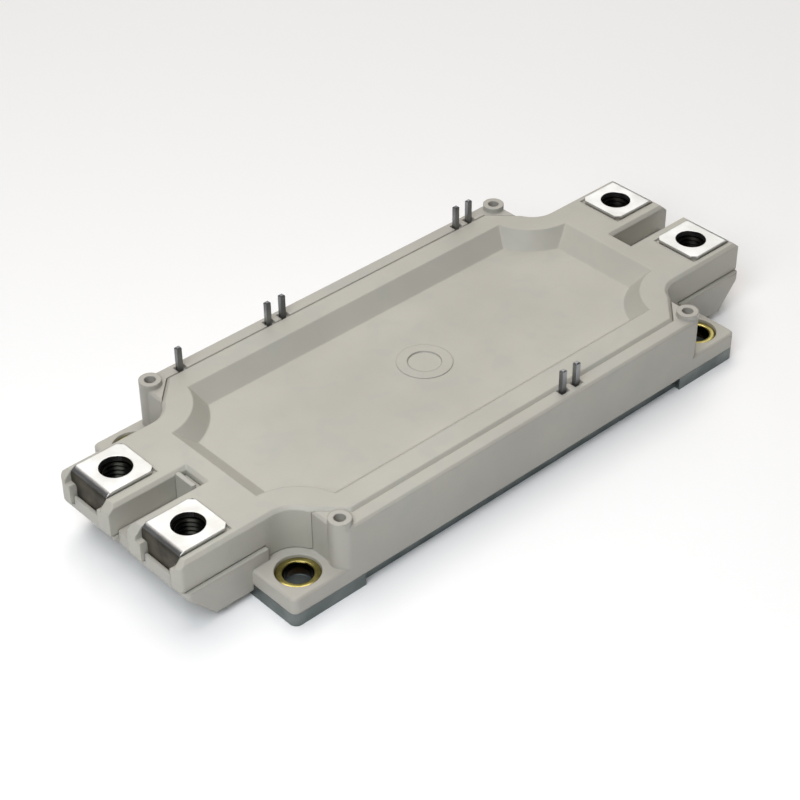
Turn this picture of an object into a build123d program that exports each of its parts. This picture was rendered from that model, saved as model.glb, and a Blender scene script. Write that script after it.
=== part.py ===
from build123d import *
import math
import os

# A half-bridge power transistor module: a flat copper base plate, a moulded frame glued on it,
# a dished lid with four nut blocks, folded terminal straps, signal pins and the circuit inside.
# All sizes are in millimetres. X runs along the module, Y across it and Z up.
# The origin is the centre of the base plate's underside.

# Base plate
BASE_LENGTH = 122.0
BASE_WIDTH = 62.0
BASE_THICKNESS = 3.0
BASE_CORNER_RADIUS = 1.5
LUG_LENGTH = 17.2
WAIST_STEP = 1.3

# Mounting holes, and the brass bushings that carry the screw heads down to the base plate
MOUNT_EDGE_DISTANCE = 6.0
SCREW_HEAD_CLEARANCE = 5.7
BUSHING_BORE = 5.6
BUSHING_DIAMETER = 8.8
BUSHING_DROP = 0.4
BUSHING_CLEARANCE = 0.05

# Frame: ears, long walls and the seam along which the lid is let in
EAR_THICKNESS = 3.5
EAR_EDGE_CHAMFER = 0.4
FRAME_TOP = 15.9
FRAME_EDGE_CHAMFER = 0.5
RIM_WIDTH = 3.3
SEAM_SHOULDER = 5.4
SEAM_GAP = 0.1
LEDGE_WIDTH = 1.5
BOND_LEDGE_WIDTH = 2.2
END_WALL = 4.0
CORNER_SUPPORT = 1.0

# Round posts on the frame's four corners that take the circuit board's screws
POST_END_DISTANCE = 1.8
POST_SIDE_DISTANCE = 2.6
POST_RADIUS = 2.3
POST_TOP = 17.0
POST_HOLE = 2.3
POST_HOLE_DEPTH = 8.0

# Lid
LID_TOP = 16.3
LID_RIM_THICKNESS = 2.1
LID_EDGE_CHAMFER = 0.7
LID_WALL = 1.5
LID_CLEARANCE = 0.06
DISH_END_MARGIN = 6.8
DISH_SIDE_MARGIN = 5.5
DISH_DEPTH = 3.6
DISH_SLOPE_X = 4.5
DISH_SLOPE_Y = 3.6
DISH_CORNER_RADIUS = 12.3
DISH_CORNER_SLOPE = 3.1
DISH_SHELL = 2.0
GATE_RING_RADIUS = 5.8
GATE_RING_HEIGHT = 0.15
GATE_DIMPLE_RADIUS = 3.5
GATE_DIMPLE_DEPTH = 0.3

# Terminals, and the nut blocks of the lid
TERMINAL_OVERHANG = 15.4
TERMINAL_SETBACK = 7.9
TERMINAL_OFFSET = 0.425
TERMINAL_TOP = 17.0
BLOCK_MOUNT_DISTANCE = 6.6
BLOCK_SEAM_GAP = 0.3
BLOCK_FRONT_CHAMFER = 1.6
BLOCK_CORNER_RADIUS = 1.0
SLOT_WIDTH = 5.5
SLOT_CLEARANCE = 0.15
SLOT_NOTCH = 1.7

# Trays of the frame below the nut blocks
TRAY_FLOOR = 0.9
TRAY_SETBACK = 0.7
TRAY_FRONT_WALL = 0.6
TRAY_FRONT_LIP = 1.0
TRAY_SIDE_WALL = 1.4
TRAY_SIDE_STEP = 0.9
GUSSET_BOTTOM = 1.7
GUSSET_LENGTH = 8.8
GUSSET_THICKNESS = 1.2
FRONT_PANEL_RISE = 2.0
SLOT_FRONT_SETBACK = 0.9
SLOT_RIDGE_HEIGHT = 1.1
KEY_TAB_LENGTH = 1.0
KEY_TAB_STEP = 1.7

# Terminal straps, folded from copper strip over the nuts
STRAP_THICKNESS = 1.2
STRAP_PLATE_WIDTH = 11.0
STRAP_PLATE_REACH = 5.2
STRAP_LEG_WIDTH = 8.0
STRAP_PLATE_APRON = 1.9
STRAP_SETBACK = 1.4
STRAP_BEND_RADIUS = 0.4
STRAP_RUN_BOTTOM = 8.1
STRAP_CORNER_CHAMFER = 1.1
STRAP_HOLE = 6.5
STRAP_FOOT_LENGTH = 4.5
STRAP_FOOT_CLEARANCE = 1.0
STRAP_SIDE_CLEARANCE = 0.2
STRAP_BACK_CLEARANCE = 0.1
ARM_SPACING = 1.0

# Terminal nuts
NUT_ACROSS_FLATS = 10.0
NUT_THICKNESS = 5.0
NUT_BORE = 5.0
NUT_HEADROOM = 0.2
NUT_CLEARANCE = 0.1
SCREW_TIP_BORE = 6.8

# Signal pins, moulded into the long walls of the frame
PIN_SIDE_DISTANCE = 2.3
PIN_PITCH = 3.81
PIN_WIDTH = 1.15
PIN_DEPTH = 1.0
PIN_TOP = 21.0
PIN_TIP_CHAMFER = 0.2
PIN_FOOT_THICKNESS = 0.8
PIN_FOOT_MARGIN = 0.3
PIN_POCKET_DEPTH = 0.8
PIN_POCKET_MARGIN = 0.4
PIN_POCKET_LENGTH = 2.3
PIN_POST_DISTANCE = 7.5
PIN_TILE_DISTANCE = 0.85
FAR_LEFT_PIN_STEPS = [0, 6, 7]
FAR_RIGHT_PIN_STEPS = [0, 1]
NEAR_PIN_STEPS = [0, 1]

# Ceramic tiles with bonded copper, and what is soldered on them
TILE_NAMES = ["left", "middle", "right"]
TILE_GAP = 1.5
TILE_END_CLEARANCE = 1.05
TILE_SIDE_CLEARANCE = 1.0
TILE_COPPER = 0.3
TILE_CERAMIC = 0.6
TILE_MARGIN = 0.6
PAD_GAP = 1.0
MIDDLE_PAD_WIDTH = 14.0
SIGNAL_STRIP_WIDTH = 1.0
CHIP_THICKNESS = 0.25
TRANSISTOR_SIZE = 9.0
DIODE_SIZE = 7.0
TRANSISTOR_CLEARANCE = 0.45
DIODE_CLEARANCE = 1.45
WIRE_WIDTH = 0.4
WIRE_RISE = 1.6
WIRE_LEAN = 0.25
WIRE_SPACING = 1.8
WIRES_PER_TRANSISTOR = 4
WIRES_PER_DIODE = 3
WIRE_LANDING = 1.2
BRIDGE_WIDTH = 4.0
BRIDGE_THICKNESS = 0.3
BRIDGE_FOOT = 1.2
BRIDGE_RISE = 1.0
SENSOR_LENGTH = 3.2
SENSOR_WIDTH = 1.4
SENSOR_HEIGHT = 1.1

# Heights that follow from the sizes above
EAR_TOP = BASE_THICKNESS + EAR_THICKNESS
LID_RIM_BOTTOM = LID_TOP - LID_RIM_THICKNESS
DISH_FLOOR = LID_TOP - DISH_DEPTH
STRAP_RUN_TOP = STRAP_RUN_BOTTOM + STRAP_THICKNESS
BLOCK_BOTTOM = STRAP_RUN_TOP + BLOCK_SEAM_GAP
TRAY_BOTTOM = STRAP_RUN_BOTTOM - TRAY_FLOOR
PLATE_UNDERSIDE = TERMINAL_TOP - STRAP_THICKNESS
STRAP_SHOULDER = PLATE_UNDERSIDE - STRAP_PLATE_APRON
NUT_TOP = PLATE_UNDERSIDE - NUT_HEADROOM
NUT_BOTTOM = NUT_TOP - NUT_THICKNESS
CERAMIC_BOTTOM = BASE_THICKNESS + TILE_COPPER
CERAMIC_TOP = CERAMIC_BOTTOM + TILE_CERAMIC
PAD_TOP = CERAMIC_TOP + TILE_COPPER
CHIP_TOP = PAD_TOP + CHIP_THICKNESS
PIN_FOOT_TOP = EAR_TOP + PIN_FOOT_THICKNESS

# Places along and across the module that follow from the sizes above
HALF_BASE = BASE_LENGTH / 2
HALF_WIDTH = BASE_WIDTH / 2
WAIST_LENGTH = BASE_LENGTH - 2 * LUG_LENGTH
HALF_MODULE = HALF_BASE + TERMINAL_OVERHANG
MODULE_LENGTH = 2 * HALF_MODULE
MOUNT_X = HALF_BASE - MOUNT_EDGE_DISTANCE
MOUNT_Y = HALF_WIDTH - MOUNT_EDGE_DISTANCE
CUTOUT_X = MOUNT_X - SCREW_HEAD_CLEARANCE
POST_X = CUTOUT_X - POST_END_DISTANCE
POST_Y = HALF_WIDTH - POST_SIDE_DISTANCE
SEAM_HALF_WIDTH = HALF_WIDTH - RIM_WIDTH
SEAM_HALF_LENGTH = CUTOUT_X - SEAM_SHOULDER
DISH_LENGTH = 2 * (HALF_BASE - DISH_END_MARGIN)
DISH_WIDTH = 2 * (SEAM_HALF_WIDTH - DISH_SIDE_MARGIN)
SLOT_HALF = SLOT_WIDTH / 2
BLOCK_SIDE = MOUNT_Y - BLOCK_MOUNT_DISTANCE
TERMINAL_X = HALF_MODULE - TERMINAL_SETBACK
TERMINAL_Y = (SLOT_HALF + BLOCK_SIDE) / 2 + TERMINAL_OFFSET
TRAY_SIDE = BLOCK_SIDE + TRAY_SIDE_STEP
TRAY_FRONT = HALF_MODULE - TRAY_SETBACK
CAVITY_X = HALF_BASE - END_WALL
LEDGE_Y = SEAM_HALF_WIDTH - LEDGE_WIDTH
BOND_LEDGE_Y = LEDGE_Y - BOND_LEDGE_WIDTH
STRAP_OUTER = HALF_MODULE - STRAP_SETBACK
STRAP_INNER = STRAP_OUTER - STRAP_THICKNESS
STRAP_PLATE_END = TERMINAL_X - STRAP_PLATE_REACH
SLOT_END_X = CAVITY_X + LID_WALL
KEY_TAB_X = SLOT_END_X + SLOT_NOTCH
RIDGE_HALF = SLOT_HALF - SLOT_CLEARANCE
PIN_ROW_Y = HALF_WIDTH - PIN_SIDE_DISTANCE
TILE_ROW_END = CUTOUT_X - LID_WALL - CORNER_SUPPORT - TILE_END_CLEARANCE
TILE_PITCH = (2 * TILE_ROW_END + TILE_GAP) / len(TILE_NAMES)
TILE_LENGTH = TILE_PITCH - TILE_GAP
TILE_WIDTH = 2 * (BOND_LEDGE_Y - TILE_SIDE_CLEARANCE)
PAD_LENGTH = TILE_LENGTH - 2 * TILE_MARGIN
STRIP_INNER_Y = TILE_WIDTH / 2 - TILE_MARGIN - SIGNAL_STRIP_WIDTH
SIDE_PAD_WIDTH = STRIP_INNER_Y - MIDDLE_PAD_WIDTH / 2 - 2 * PAD_GAP
SIDE_PAD_Y = MIDDLE_PAD_WIDTH / 2 + PAD_GAP + SIDE_PAD_WIDTH / 2
STRIP_Y = STRIP_INNER_Y + SIGNAL_STRIP_WIDTH / 2
TRANSISTOR_X = PAD_LENGTH / 2 - BRIDGE_FOOT - TRANSISTOR_CLEARANCE - TRANSISTOR_SIZE / 2
DIODE_X = PAD_LENGTH / 2 - BRIDGE_FOOT - DIODE_CLEARANCE - DIODE_SIZE / 2
STRAP_FOOT_WIDTH = 2 * (TRANSISTOR_X - TRANSISTOR_SIZE / 2 - STRAP_FOOT_CLEARANCE)
RAIL_END = TILE_PITCH + STRAP_FOOT_WIDTH / 2
ARM_END = TILE_PITCH - STRAP_FOOT_WIDTH / 2
ARM_ROOT = CAVITY_X - STRAP_LEG_WIDTH

ENDS = [-1, 1]
SIDES = [-1, 1]


def span_box(x_limits, y_limits, z_limits):
    """Box between two limits along each axis, given in either order."""
    limits = [sorted(pair) for pair in (x_limits, y_limits, z_limits)]
    size = [high - low for low, high in limits]
    middle = [(high + low) / 2 for low, high in limits]
    return Pos(*middle) * Box(*size)


def prism(plan, bottom, top):
    """Upright solid over a flat outline, between two heights."""
    return extrude(Pos(0, 0, bottom) * plan, amount=top - bottom)


def side_prism(outline, y_limits):
    """Solid with an outline drawn in X and Z, between two places across the module."""
    low, high = sorted(y_limits)
    solid = extrude(outline, amount=high - low)
    return Pos(0, high, 0) * Rot(90, 0, 0) * solid


def outline_of(points):
    """Flat face inside straight lines through the points."""
    return make_face(Polyline(*points, close=True))


def hexagon(across_flats, bottom, top):
    """Hexagonal prism with two flats facing along the module."""
    plan = RegularPolygon(across_flats / 2, 6, major_radius=False, rotation=30)
    return prism(plan, bottom, top)


def corner_places(x, y):
    """The four places at plus and minus x and y."""
    return [(end * x, side * y) for end in ENDS for side in SIDES]


def cutout_plan(grow=0.0):
    """Outline of the four open corners above the ears, where screw heads and drivers go."""
    corners = Sketch()
    for x_side, y_side in corner_places(1, 1):
        x_middle = x_side * (CUTOUT_X - grow + HALF_MODULE / 2)
        y_middle = y_side * (BLOCK_SIDE - grow + HALF_MODULE / 2)
        square = Pos(x_middle, y_middle) * Rectangle(HALF_MODULE, HALF_MODULE)
        inner = square.vertices().sort_by_distance((0, 0, 0))[0]
        corners += fillet(inner, SCREW_HEAD_CLEARANCE + grow)
    return corners


def seam_plan(grow=0.0):
    """Area inside the seam of lid and frame: straight sides, and a diagonal to each open corner."""
    width = SEAM_HALF_WIDTH + grow
    diagonal = SEAM_HALF_WIDTH + SEAM_HALF_LENGTH + grow * math.sqrt(2)
    shoulder = (diagonal - width, width)
    end = (CAVITY_X, diagonal - CAVITY_X)
    right = [shoulder, end, (end[0], -end[1]), (shoulder[0], -shoulder[1])]
    left = [(-x, -y) for x, y in right]
    corner_middle = BLOCK_SIDE + SCREW_HEAD_CLEARANCE * (1 - math.sqrt(0.5))
    return outline_of(right + left) + Rectangle(2 * CAVITY_X, 2 * corner_middle)


def block_plan():
    """Outline of the nut blocks from above, with the slots between them left open."""
    plan = RectangleRounded(MODULE_LENGTH, 2 * BLOCK_SIDE, BLOCK_CORNER_RADIUS)
    length = HALF_MODULE - SLOT_END_X
    for end in ENDS:
        plan -= Pos(end * (SLOT_END_X + length / 2), 0) * Rectangle(length, SLOT_WIDTH)
    return plan


def lid_plan():
    """Outline of the lid from above, with its nut blocks, slots and open corners."""
    slots = Rectangle(MODULE_LENGTH, SLOT_WIDTH) - Rectangle(2 * SLOT_END_X, SLOT_WIDTH)
    return block_plan() + (seam_plan() - cutout_plan() - slots)


def dish(grow=0.0):
    """Hollow of the lid: sloped sides, and corners that run round the screw heads as cones."""
    bottom = DISH_FLOOR - grow
    depth = LID_TOP - bottom
    rim = Rectangle(DISH_LENGTH + 2 * grow, DISH_WIDTH + 2 * grow)
    floor_length = DISH_LENGTH - 2 * DISH_SLOPE_X + 2 * grow
    floor_width = DISH_WIDTH - 2 * DISH_SLOPE_Y + 2 * grow
    floor = Rectangle(floor_length, floor_width)
    hollow = loft([Pos(0, 0, bottom) * floor.face(), Pos(0, 0, LID_TOP) * rim.face()])
    rim_radius = DISH_CORNER_RADIUS - grow
    floor_radius = rim_radius + DISH_CORNER_SLOPE
    for x, y in corner_places(MOUNT_X, MOUNT_Y):
        hollow -= Pos(x, y, bottom + depth / 2) * Cone(floor_radius, rim_radius, depth)
    return hollow


def pin_places():
    """Place of each signal pin along the module, with the side it stands on."""
    far_end = POST_X - PIN_POST_DISTANCE
    near_end = TILE_LENGTH / 2 - PIN_TILE_DISTANCE
    far = [(step * PIN_PITCH - far_end, 1) for step in FAR_LEFT_PIN_STEPS]
    far += [(far_end - step * PIN_PITCH, 1) for step in FAR_RIGHT_PIN_STEPS]
    return far + [(near_end - step * PIN_PITCH, -1) for step in NEAR_PIN_STEPS]


def make_base_plate():
    """Flat plate with set-back long sides and a hole for the screw in each corner."""
    plan = RectangleRounded(BASE_LENGTH, BASE_WIDTH, BASE_CORNER_RADIUS)
    for side in SIDES:
        plan -= Pos(0, side * HALF_WIDTH) * Rectangle(WAIST_LENGTH, 2 * WAIST_STEP)
    for x, y in corner_places(MOUNT_X, MOUNT_Y):
        plan -= Pos(x, y) * Circle(BUSHING_BORE / 2)
    return prism(plan, 0, BASE_THICKNESS)


def make_bushing(x, y):
    """Brass bushing that stands on the base plate in an ear of the frame."""
    ring = Circle(BUSHING_DIAMETER / 2) - Circle(BUSHING_BORE / 2)
    return Pos(x, y, 0) * prism(ring, BASE_THICKNESS, EAR_TOP - BUSHING_DROP)


def make_frame_walls():
    """Ears, long walls with the lid's ledge and the bond ledge, and the corners up to the seam."""
    slab_plan = RectangleRounded(BASE_LENGTH, BASE_WIDTH, BASE_CORNER_RADIUS)
    slab = prism(slab_plan, BASE_THICKNESS, EAR_TOP)
    slab = chamfer(slab.edges().group_by(Axis.Z)[-1], EAR_EDGE_CHAMFER)
    cavity = Rectangle(2 * CAVITY_X, 2 * BOND_LEDGE_Y) - cutout_plan(LID_WALL + CORNER_SUPPORT)
    slab -= prism(cavity, BASE_THICKNESS, EAR_TOP)
    zone = RectangleRounded(2 * CUTOUT_X, BASE_WIDTH, POST_RADIUS)
    lid_corners = cutout_plan(LID_WALL + LID_CLEARANCE) & seam_plan(SEAM_GAP)
    ledge = zone - seam_plan(-LEDGE_WIDTH) - lid_corners
    foot = zone - Rectangle(2 * CAVITY_X, 2 * BOND_LEDGE_Y)
    slab += prism(foot, BASE_THICKNESS, EAR_TOP)
    rim = prism(zone - seam_plan(SEAM_GAP), LID_RIM_BOTTOM, FRAME_TOP)
    long_edges = rim.edges().filter_by(Axis.X).group_by(Axis.Z)[-1].sort_by(Axis.Y)
    rim = chamfer([long_edges[0], long_edges[-1]], FRAME_EDGE_CHAMFER)
    return slab + prism(ledge, EAR_TOP, LID_RIM_BOTTOM) + rim


def make_posts():
    """Round posts on the frame's corners, from the ears up."""
    post = prism(Circle(POST_RADIUS), EAR_TOP, POST_TOP)
    return Part() + [Pos(x, y, 0) * post for x, y in corner_places(POST_X, POST_Y)]


def make_gussets(end):
    """Wedge-shaped webs below one tray, the outer pair rising beside the nut blocks."""
    root = end * HALF_BASE
    toe = end * (HALF_BASE + GUSSET_LENGTH)
    front = end * TRAY_FRONT
    web = outline_of([
        (root, STRAP_RUN_TOP),
        (root, GUSSET_BOTTOM),
        (toe, GUSSET_BOTTOM),
        (front, STRAP_RUN_TOP - TRAY_FRONT_LIP),
        (front, STRAP_RUN_TOP),
    ])
    webs = Part()
    for side in SIDES:
        webs += side_prism(web, (side * (TRAY_SIDE - TRAY_SIDE_WALL), side * TRAY_SIDE))
        webs += side_prism(web, (side * SLOT_HALF, side * (SLOT_HALF + GUSSET_THICKNESS)))
    return webs


def make_tray(end):
    """Tray at one end of the frame that carries the straps and the lid's nut blocks."""
    wall = end * HALF_BASE
    front = end * TRAY_FRONT
    behind = front - end * TRAY_FRONT_WALL
    slot_front = front - end * SLOT_FRONT_SETBACK
    full_width = (-TRAY_SIDE, TRAY_SIDE)
    slot_width = (-SLOT_HALF, SLOT_HALF)
    ridge_width = (-RIDGE_HALF, RIDGE_HALF)
    tray = span_box((end * CAVITY_X, wall), full_width, (EAR_TOP, STRAP_RUN_TOP))
    tray += span_box((wall, front), full_width, (TRAY_BOTTOM, STRAP_RUN_BOTTOM))
    tray += span_box((behind, front), full_width, (STRAP_RUN_BOTTOM, STRAP_RUN_TOP))
    tray -= span_box((slot_front, front), slot_width, (TRAY_BOTTOM, STRAP_RUN_TOP))
    ridge_top = STRAP_RUN_TOP + SLOT_RIDGE_HEIGHT
    tray += span_box((wall, slot_front), ridge_width, (STRAP_RUN_BOTTOM, ridge_top))
    panel = STRAP_LEG_WIDTH / 2 + STRAP_SIDE_CLEARANCE
    for side in SIDES:
        y = side * TERMINAL_Y
        tray += span_box((behind, front), (y - panel, y + panel),
                         (STRAP_RUN_TOP, STRAP_RUN_TOP + FRONT_PANEL_RISE))
        tray -= span_box((end * CAVITY_X, wall), (y - STRAP_LEG_WIDTH / 2, y + STRAP_LEG_WIDTH / 2),
                         (STRAP_RUN_BOTTOM, STRAP_RUN_TOP))
    slope = outline_of([
        (end * (HALF_BASE + GUSSET_LENGTH), GUSSET_BOTTOM),
        (front, GUSSET_BOTTOM),
        (front, STRAP_RUN_TOP - TRAY_FRONT_LIP),
    ])
    tray -= side_prism(slope, full_width)
    tray += make_gussets(end)
    rounded = RectangleRounded(2 * TRAY_FRONT, 2 * TRAY_SIDE, BLOCK_CORNER_RADIUS)
    return tray & prism(rounded, 0, FRAME_TOP)


def make_key_tab():
    """Stepped tab in the left slot, which keeps the lid from going on the wrong way round."""
    width = (-RIDGE_HALF, RIDGE_HALF)
    back = -SLOT_END_X - SLOT_CLEARANCE
    step_top = LID_TOP - KEY_TAB_STEP
    tab = span_box((-KEY_TAB_X, -KEY_TAB_X - KEY_TAB_LENGTH), width, (STRAP_RUN_BOTTOM, LID_TOP))
    return tab + span_box((back, -KEY_TAB_X), width, (STRAP_RUN_BOTTOM, step_top))


def make_frame():
    """One moulding: ears, walls, posts and end trays, opened for bushings and pins."""
    frame = make_frame_walls() + make_posts()
    for end in ENDS:
        frame += make_tray(end)
    frame += make_key_tab()
    seat = prism(Circle(BUSHING_DIAMETER / 2 + BUSHING_CLEARANCE), BASE_THICKNESS, EAR_TOP)
    for x, y in corner_places(MOUNT_X, MOUNT_Y):
        frame -= Pos(x, y, 0) * seat
    for x, y in corner_places(POST_X, POST_Y):
        frame -= Pos(x, y, 0) * prism(Circle(POST_HOLE / 2), POST_TOP - POST_HOLE_DEPTH, POST_TOP)
    pocket_side = PIN_DEPTH / 2 + PIN_POCKET_MARGIN
    for x, side in pin_places():
        start = x - PIN_WIDTH / 2 - PIN_POCKET_MARGIN
        y = side * PIN_ROW_Y
        frame -= span_box((start, start + PIN_POCKET_LENGTH), (y - pocket_side, y + pocket_side),
                          (FRAME_TOP - PIN_POCKET_DEPTH, FRAME_TOP))
        frame -= make_pin(x, side)
    return frame


def make_lid_shell():
    """Dished top plate with its seam rim, the walls round the screw heads and the nut blocks."""
    rim = prism(lid_plan(), LID_RIM_BOTTOM, LID_TOP)
    rim = chamfer(rim.edges().group_by(Axis.Z)[-1], LID_EDGE_CHAMFER)
    corner_walls = (cutout_plan(LID_WALL) - cutout_plan()) & seam_plan()
    low_zone = Rectangle(2 * (CAVITY_X - LID_CLEARANCE), BASE_WIDTH)
    lid = rim + prism(corner_walls, BLOCK_BOTTOM, LID_RIM_BOTTOM)
    lid += prism(corner_walls & low_zone, EAR_TOP + LID_CLEARANCE, BLOCK_BOTTOM)
    blocks = block_plan() - Rectangle(2 * CAVITY_X, BASE_WIDTH)
    lid += prism(blocks, BLOCK_BOTTOM, LID_RIM_BOTTOM)
    return lid + dish(DISH_SHELL) - dish()


def terminal_pocket(end, side):
    """Room for one strap, its nut and the tip of its screw in a nut block."""
    y = side * TERMINAL_Y
    front = end * HALF_MODULE
    recess = end * (STRAP_INNER - STRAP_BACK_CLEARANCE)
    seat_end = end * (STRAP_PLATE_END - STRAP_SIDE_CLEARANCE)
    seat = STRAP_PLATE_WIDTH / 2 + STRAP_SIDE_CLEARANCE
    leg = STRAP_LEG_WIDTH / 2 + 2 * STRAP_SIDE_CLEARANCE
    pocket = span_box((seat_end, front), (y - seat, y + seat), (PLATE_UNDERSIDE, LID_TOP))
    pocket += span_box((recess, front), (y - seat, y + seat), (STRAP_SHOULDER, LID_TOP))
    pocket += span_box((recess, front), (y - leg, y + leg), (BLOCK_BOTTOM, STRAP_SHOULDER))
    for bend in (STRAP_RUN_TOP, PLATE_UNDERSIDE):
        pocket += span_box((end * (STRAP_INNER - STRAP_BEND_RADIUS), recess), (y - seat, y + seat),
                           (bend - STRAP_BEND_RADIUS, bend + STRAP_BEND_RADIUS))
    centre = Pos(end * TERMINAL_X, y, 0)
    pocket += centre * hexagon(NUT_ACROSS_FLATS + 2 * NUT_CLEARANCE, NUT_BOTTOM, PLATE_UNDERSIDE)
    return pocket + centre * prism(Circle(SCREW_TIP_BORE / 2), BLOCK_BOTTOM, NUT_BOTTOM)


def make_lid():
    """Lid with its terminal pockets, sloped block fronts and gate mark."""
    lid = make_lid_shell()
    for end in ENDS:
        front = end * HALF_MODULE
        slope = outline_of([
            (front, LID_TOP),
            (front - end * BLOCK_FRONT_CHAMFER, LID_TOP),
            (front, LID_TOP - BLOCK_FRONT_CHAMFER),
        ])
        lid -= side_prism(slope, (-BLOCK_SIDE, BLOCK_SIDE))
        for side in SIDES:
            lid -= terminal_pocket(end, side)
    lid += prism(Circle(GATE_RING_RADIUS), DISH_FLOOR, DISH_FLOOR + GATE_RING_HEIGHT)
    ring_top = DISH_FLOOR + GATE_RING_HEIGHT
    return lid - prism(Circle(GATE_DIMPLE_RADIUS), ring_top - GATE_DIMPLE_DEPTH, ring_top)


def make_nut(end, side):
    """Hexagonal terminal nut."""
    nut = hexagon(NUT_ACROSS_FLATS, NUT_BOTTOM, NUT_TOP)
    nut -= prism(Circle(NUT_BORE / 2), NUT_BOTTOM, NUT_TOP)
    return Pos(end * TERMINAL_X, side * TERMINAL_Y, 0) * nut


def folded_strap(end, side, run_end):
    """Strap from its plate over the nut, down the block's front and inwards under the lid."""
    outer = end * STRAP_OUTER
    inner = end * STRAP_INNER
    plate_end = end * STRAP_PLATE_END
    outline = outline_of([
        (plate_end, TERMINAL_TOP),
        (outer, TERMINAL_TOP),
        (outer, STRAP_RUN_BOTTOM),
        (run_end, STRAP_RUN_BOTTOM),
        (run_end, STRAP_RUN_TOP),
        (inner, STRAP_RUN_TOP),
        (inner, PLATE_UNDERSIDE),
        (plate_end, PLATE_UNDERSIDE),
    ])
    inner_bends = outline.vertices().sort_by(Axis.X, reverse=end < 0)[-4:-2]
    outline = fillet(inner_bends, STRAP_BEND_RADIUS)
    outer_bends = outline.vertices().sort_by(Axis.X, reverse=end < 0)[-2:]
    outline = fillet(outer_bends, STRAP_BEND_RADIUS + STRAP_THICKNESS)
    y = side * TERMINAL_Y
    half_plate = STRAP_PLATE_WIDTH / 2
    half_leg = STRAP_LEG_WIDTH / 2
    strap = side_prism(outline, (y - half_plate, y + half_plate))
    for edge in SIDES:
        strap -= span_box((run_end, outer), (y + edge * half_leg, y + edge * half_plate),
                          (STRAP_RUN_BOTTOM, STRAP_SHOULDER))
        corner_y = y + edge * half_plate
        corner = outline_of([
            (plate_end, corner_y),
            (plate_end + end * STRAP_CORNER_CHAMFER, corner_y),
            (plate_end, corner_y - edge * STRAP_CORNER_CHAMFER),
        ])
        strap -= prism(corner, PLATE_UNDERSIDE, TERMINAL_TOP)
    hole = prism(Circle(STRAP_HOLE / 2), PLATE_UNDERSIDE, TERMINAL_TOP)
    return strap - Pos(end * TERMINAL_X, y, 0) * hole


def strap_foot(x, leg_y, inward):
    """Leg and foot of a strap, from its run down to a copper pad."""
    width = (x - STRAP_FOOT_WIDTH / 2, x + STRAP_FOOT_WIDTH / 2)
    leg = span_box(width, (leg_y, leg_y + inward * STRAP_THICKNESS), (PAD_TOP, STRAP_RUN_BOTTOM))
    foot_top = PAD_TOP + STRAP_THICKNESS
    return leg + span_box(width, (leg_y, leg_y + inward * STRAP_FOOT_LENGTH), (PAD_TOP, foot_top))


def make_supply_strap(side):
    """Supply strap at the left end: a rail along all three tiles, with a foot on each."""
    strap = folded_strap(-1, side, RAIL_END)
    leg_y = side * (TERMINAL_Y + STRAP_LEG_WIDTH / 2)
    for step in (-1, 0, 1):
        strap += strap_foot(step * TILE_PITCH, leg_y, -side)
    return strap


def make_output_strap(side):
    """Output strap at the right end: an arm between the rails, with a foot on the right tile."""
    strap = folded_strap(1, side, ARM_ROOT)
    run = (STRAP_RUN_BOTTOM, STRAP_RUN_TOP)
    inner_edge = side * ARM_SPACING
    outer_edge = side * (TERMINAL_Y - STRAP_LEG_WIDTH / 2 - ARM_SPACING)
    strap += span_box((ARM_ROOT, CAVITY_X), (inner_edge, side * TERMINAL_Y), run)
    strap += span_box((ARM_END, CAVITY_X), (inner_edge, outer_edge), run)
    return strap + strap_foot(TILE_PITCH, inner_edge, side)


def make_pin(x, side):
    """Signal pin with a tapered tip, and a foot inside for a bond wire."""
    post_inner = PIN_ROW_Y - PIN_DEPTH / 2
    post_outer = PIN_ROW_Y + PIN_DEPTH / 2
    width = (x - PIN_WIDTH / 2, x + PIN_WIDTH / 2)
    post = span_box(width, (side * post_inner, side * post_outer), (EAR_TOP, PIN_TOP))
    post = chamfer(post.edges().group_by(Axis.Z)[-1], PIN_TIP_CHAMFER)
    foot_end = BOND_LEDGE_Y + PIN_FOOT_MARGIN
    return post + span_box(width, (side * foot_end, side * post_outer), (EAR_TOP, PIN_FOOT_TOP))


def make_lower_copper(x):
    """Copper layer bonded under a tile and soldered to the base plate."""
    sheet = Rectangle(PAD_LENGTH, TILE_WIDTH - 2 * TILE_MARGIN)
    return Pos(x, 0, 0) * prism(sheet, BASE_THICKNESS, CERAMIC_BOTTOM)


def make_ceramic(x):
    """Insulating ceramic tile."""
    return Pos(x, 0, 0) * prism(Rectangle(TILE_LENGTH, TILE_WIDTH), CERAMIC_BOTTOM, CERAMIC_TOP)


def make_circuit_copper(x):
    """Copper pads on a tile: output in the middle, supply at the sides, and signal strips."""
    plan = Rectangle(PAD_LENGTH, MIDDLE_PAD_WIDTH)
    strip_length = (PAD_LENGTH - PAD_GAP) / 2
    strip_x = (strip_length + PAD_GAP) / 2
    for side in SIDES:
        plan += Pos(0, side * SIDE_PAD_Y) * Rectangle(PAD_LENGTH, SIDE_PAD_WIDTH)
    for strip_place in corner_places(strip_x, STRIP_Y):
        plan += Pos(*strip_place) * Rectangle(strip_length, SIGNAL_STRIP_WIDTH)
    return Pos(x, 0, 0) * prism(plan, CERAMIC_TOP, PAD_TOP)


def make_chips(x, size):
    """The two chips of one size on a tile: one on the supply pad, one on the output pad."""
    chip = prism(Rectangle(size, size), PAD_TOP, CHIP_TOP)
    return Part() + [Pos(x, y, 0) * chip for y in (0, SIDE_PAD_Y)]


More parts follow.
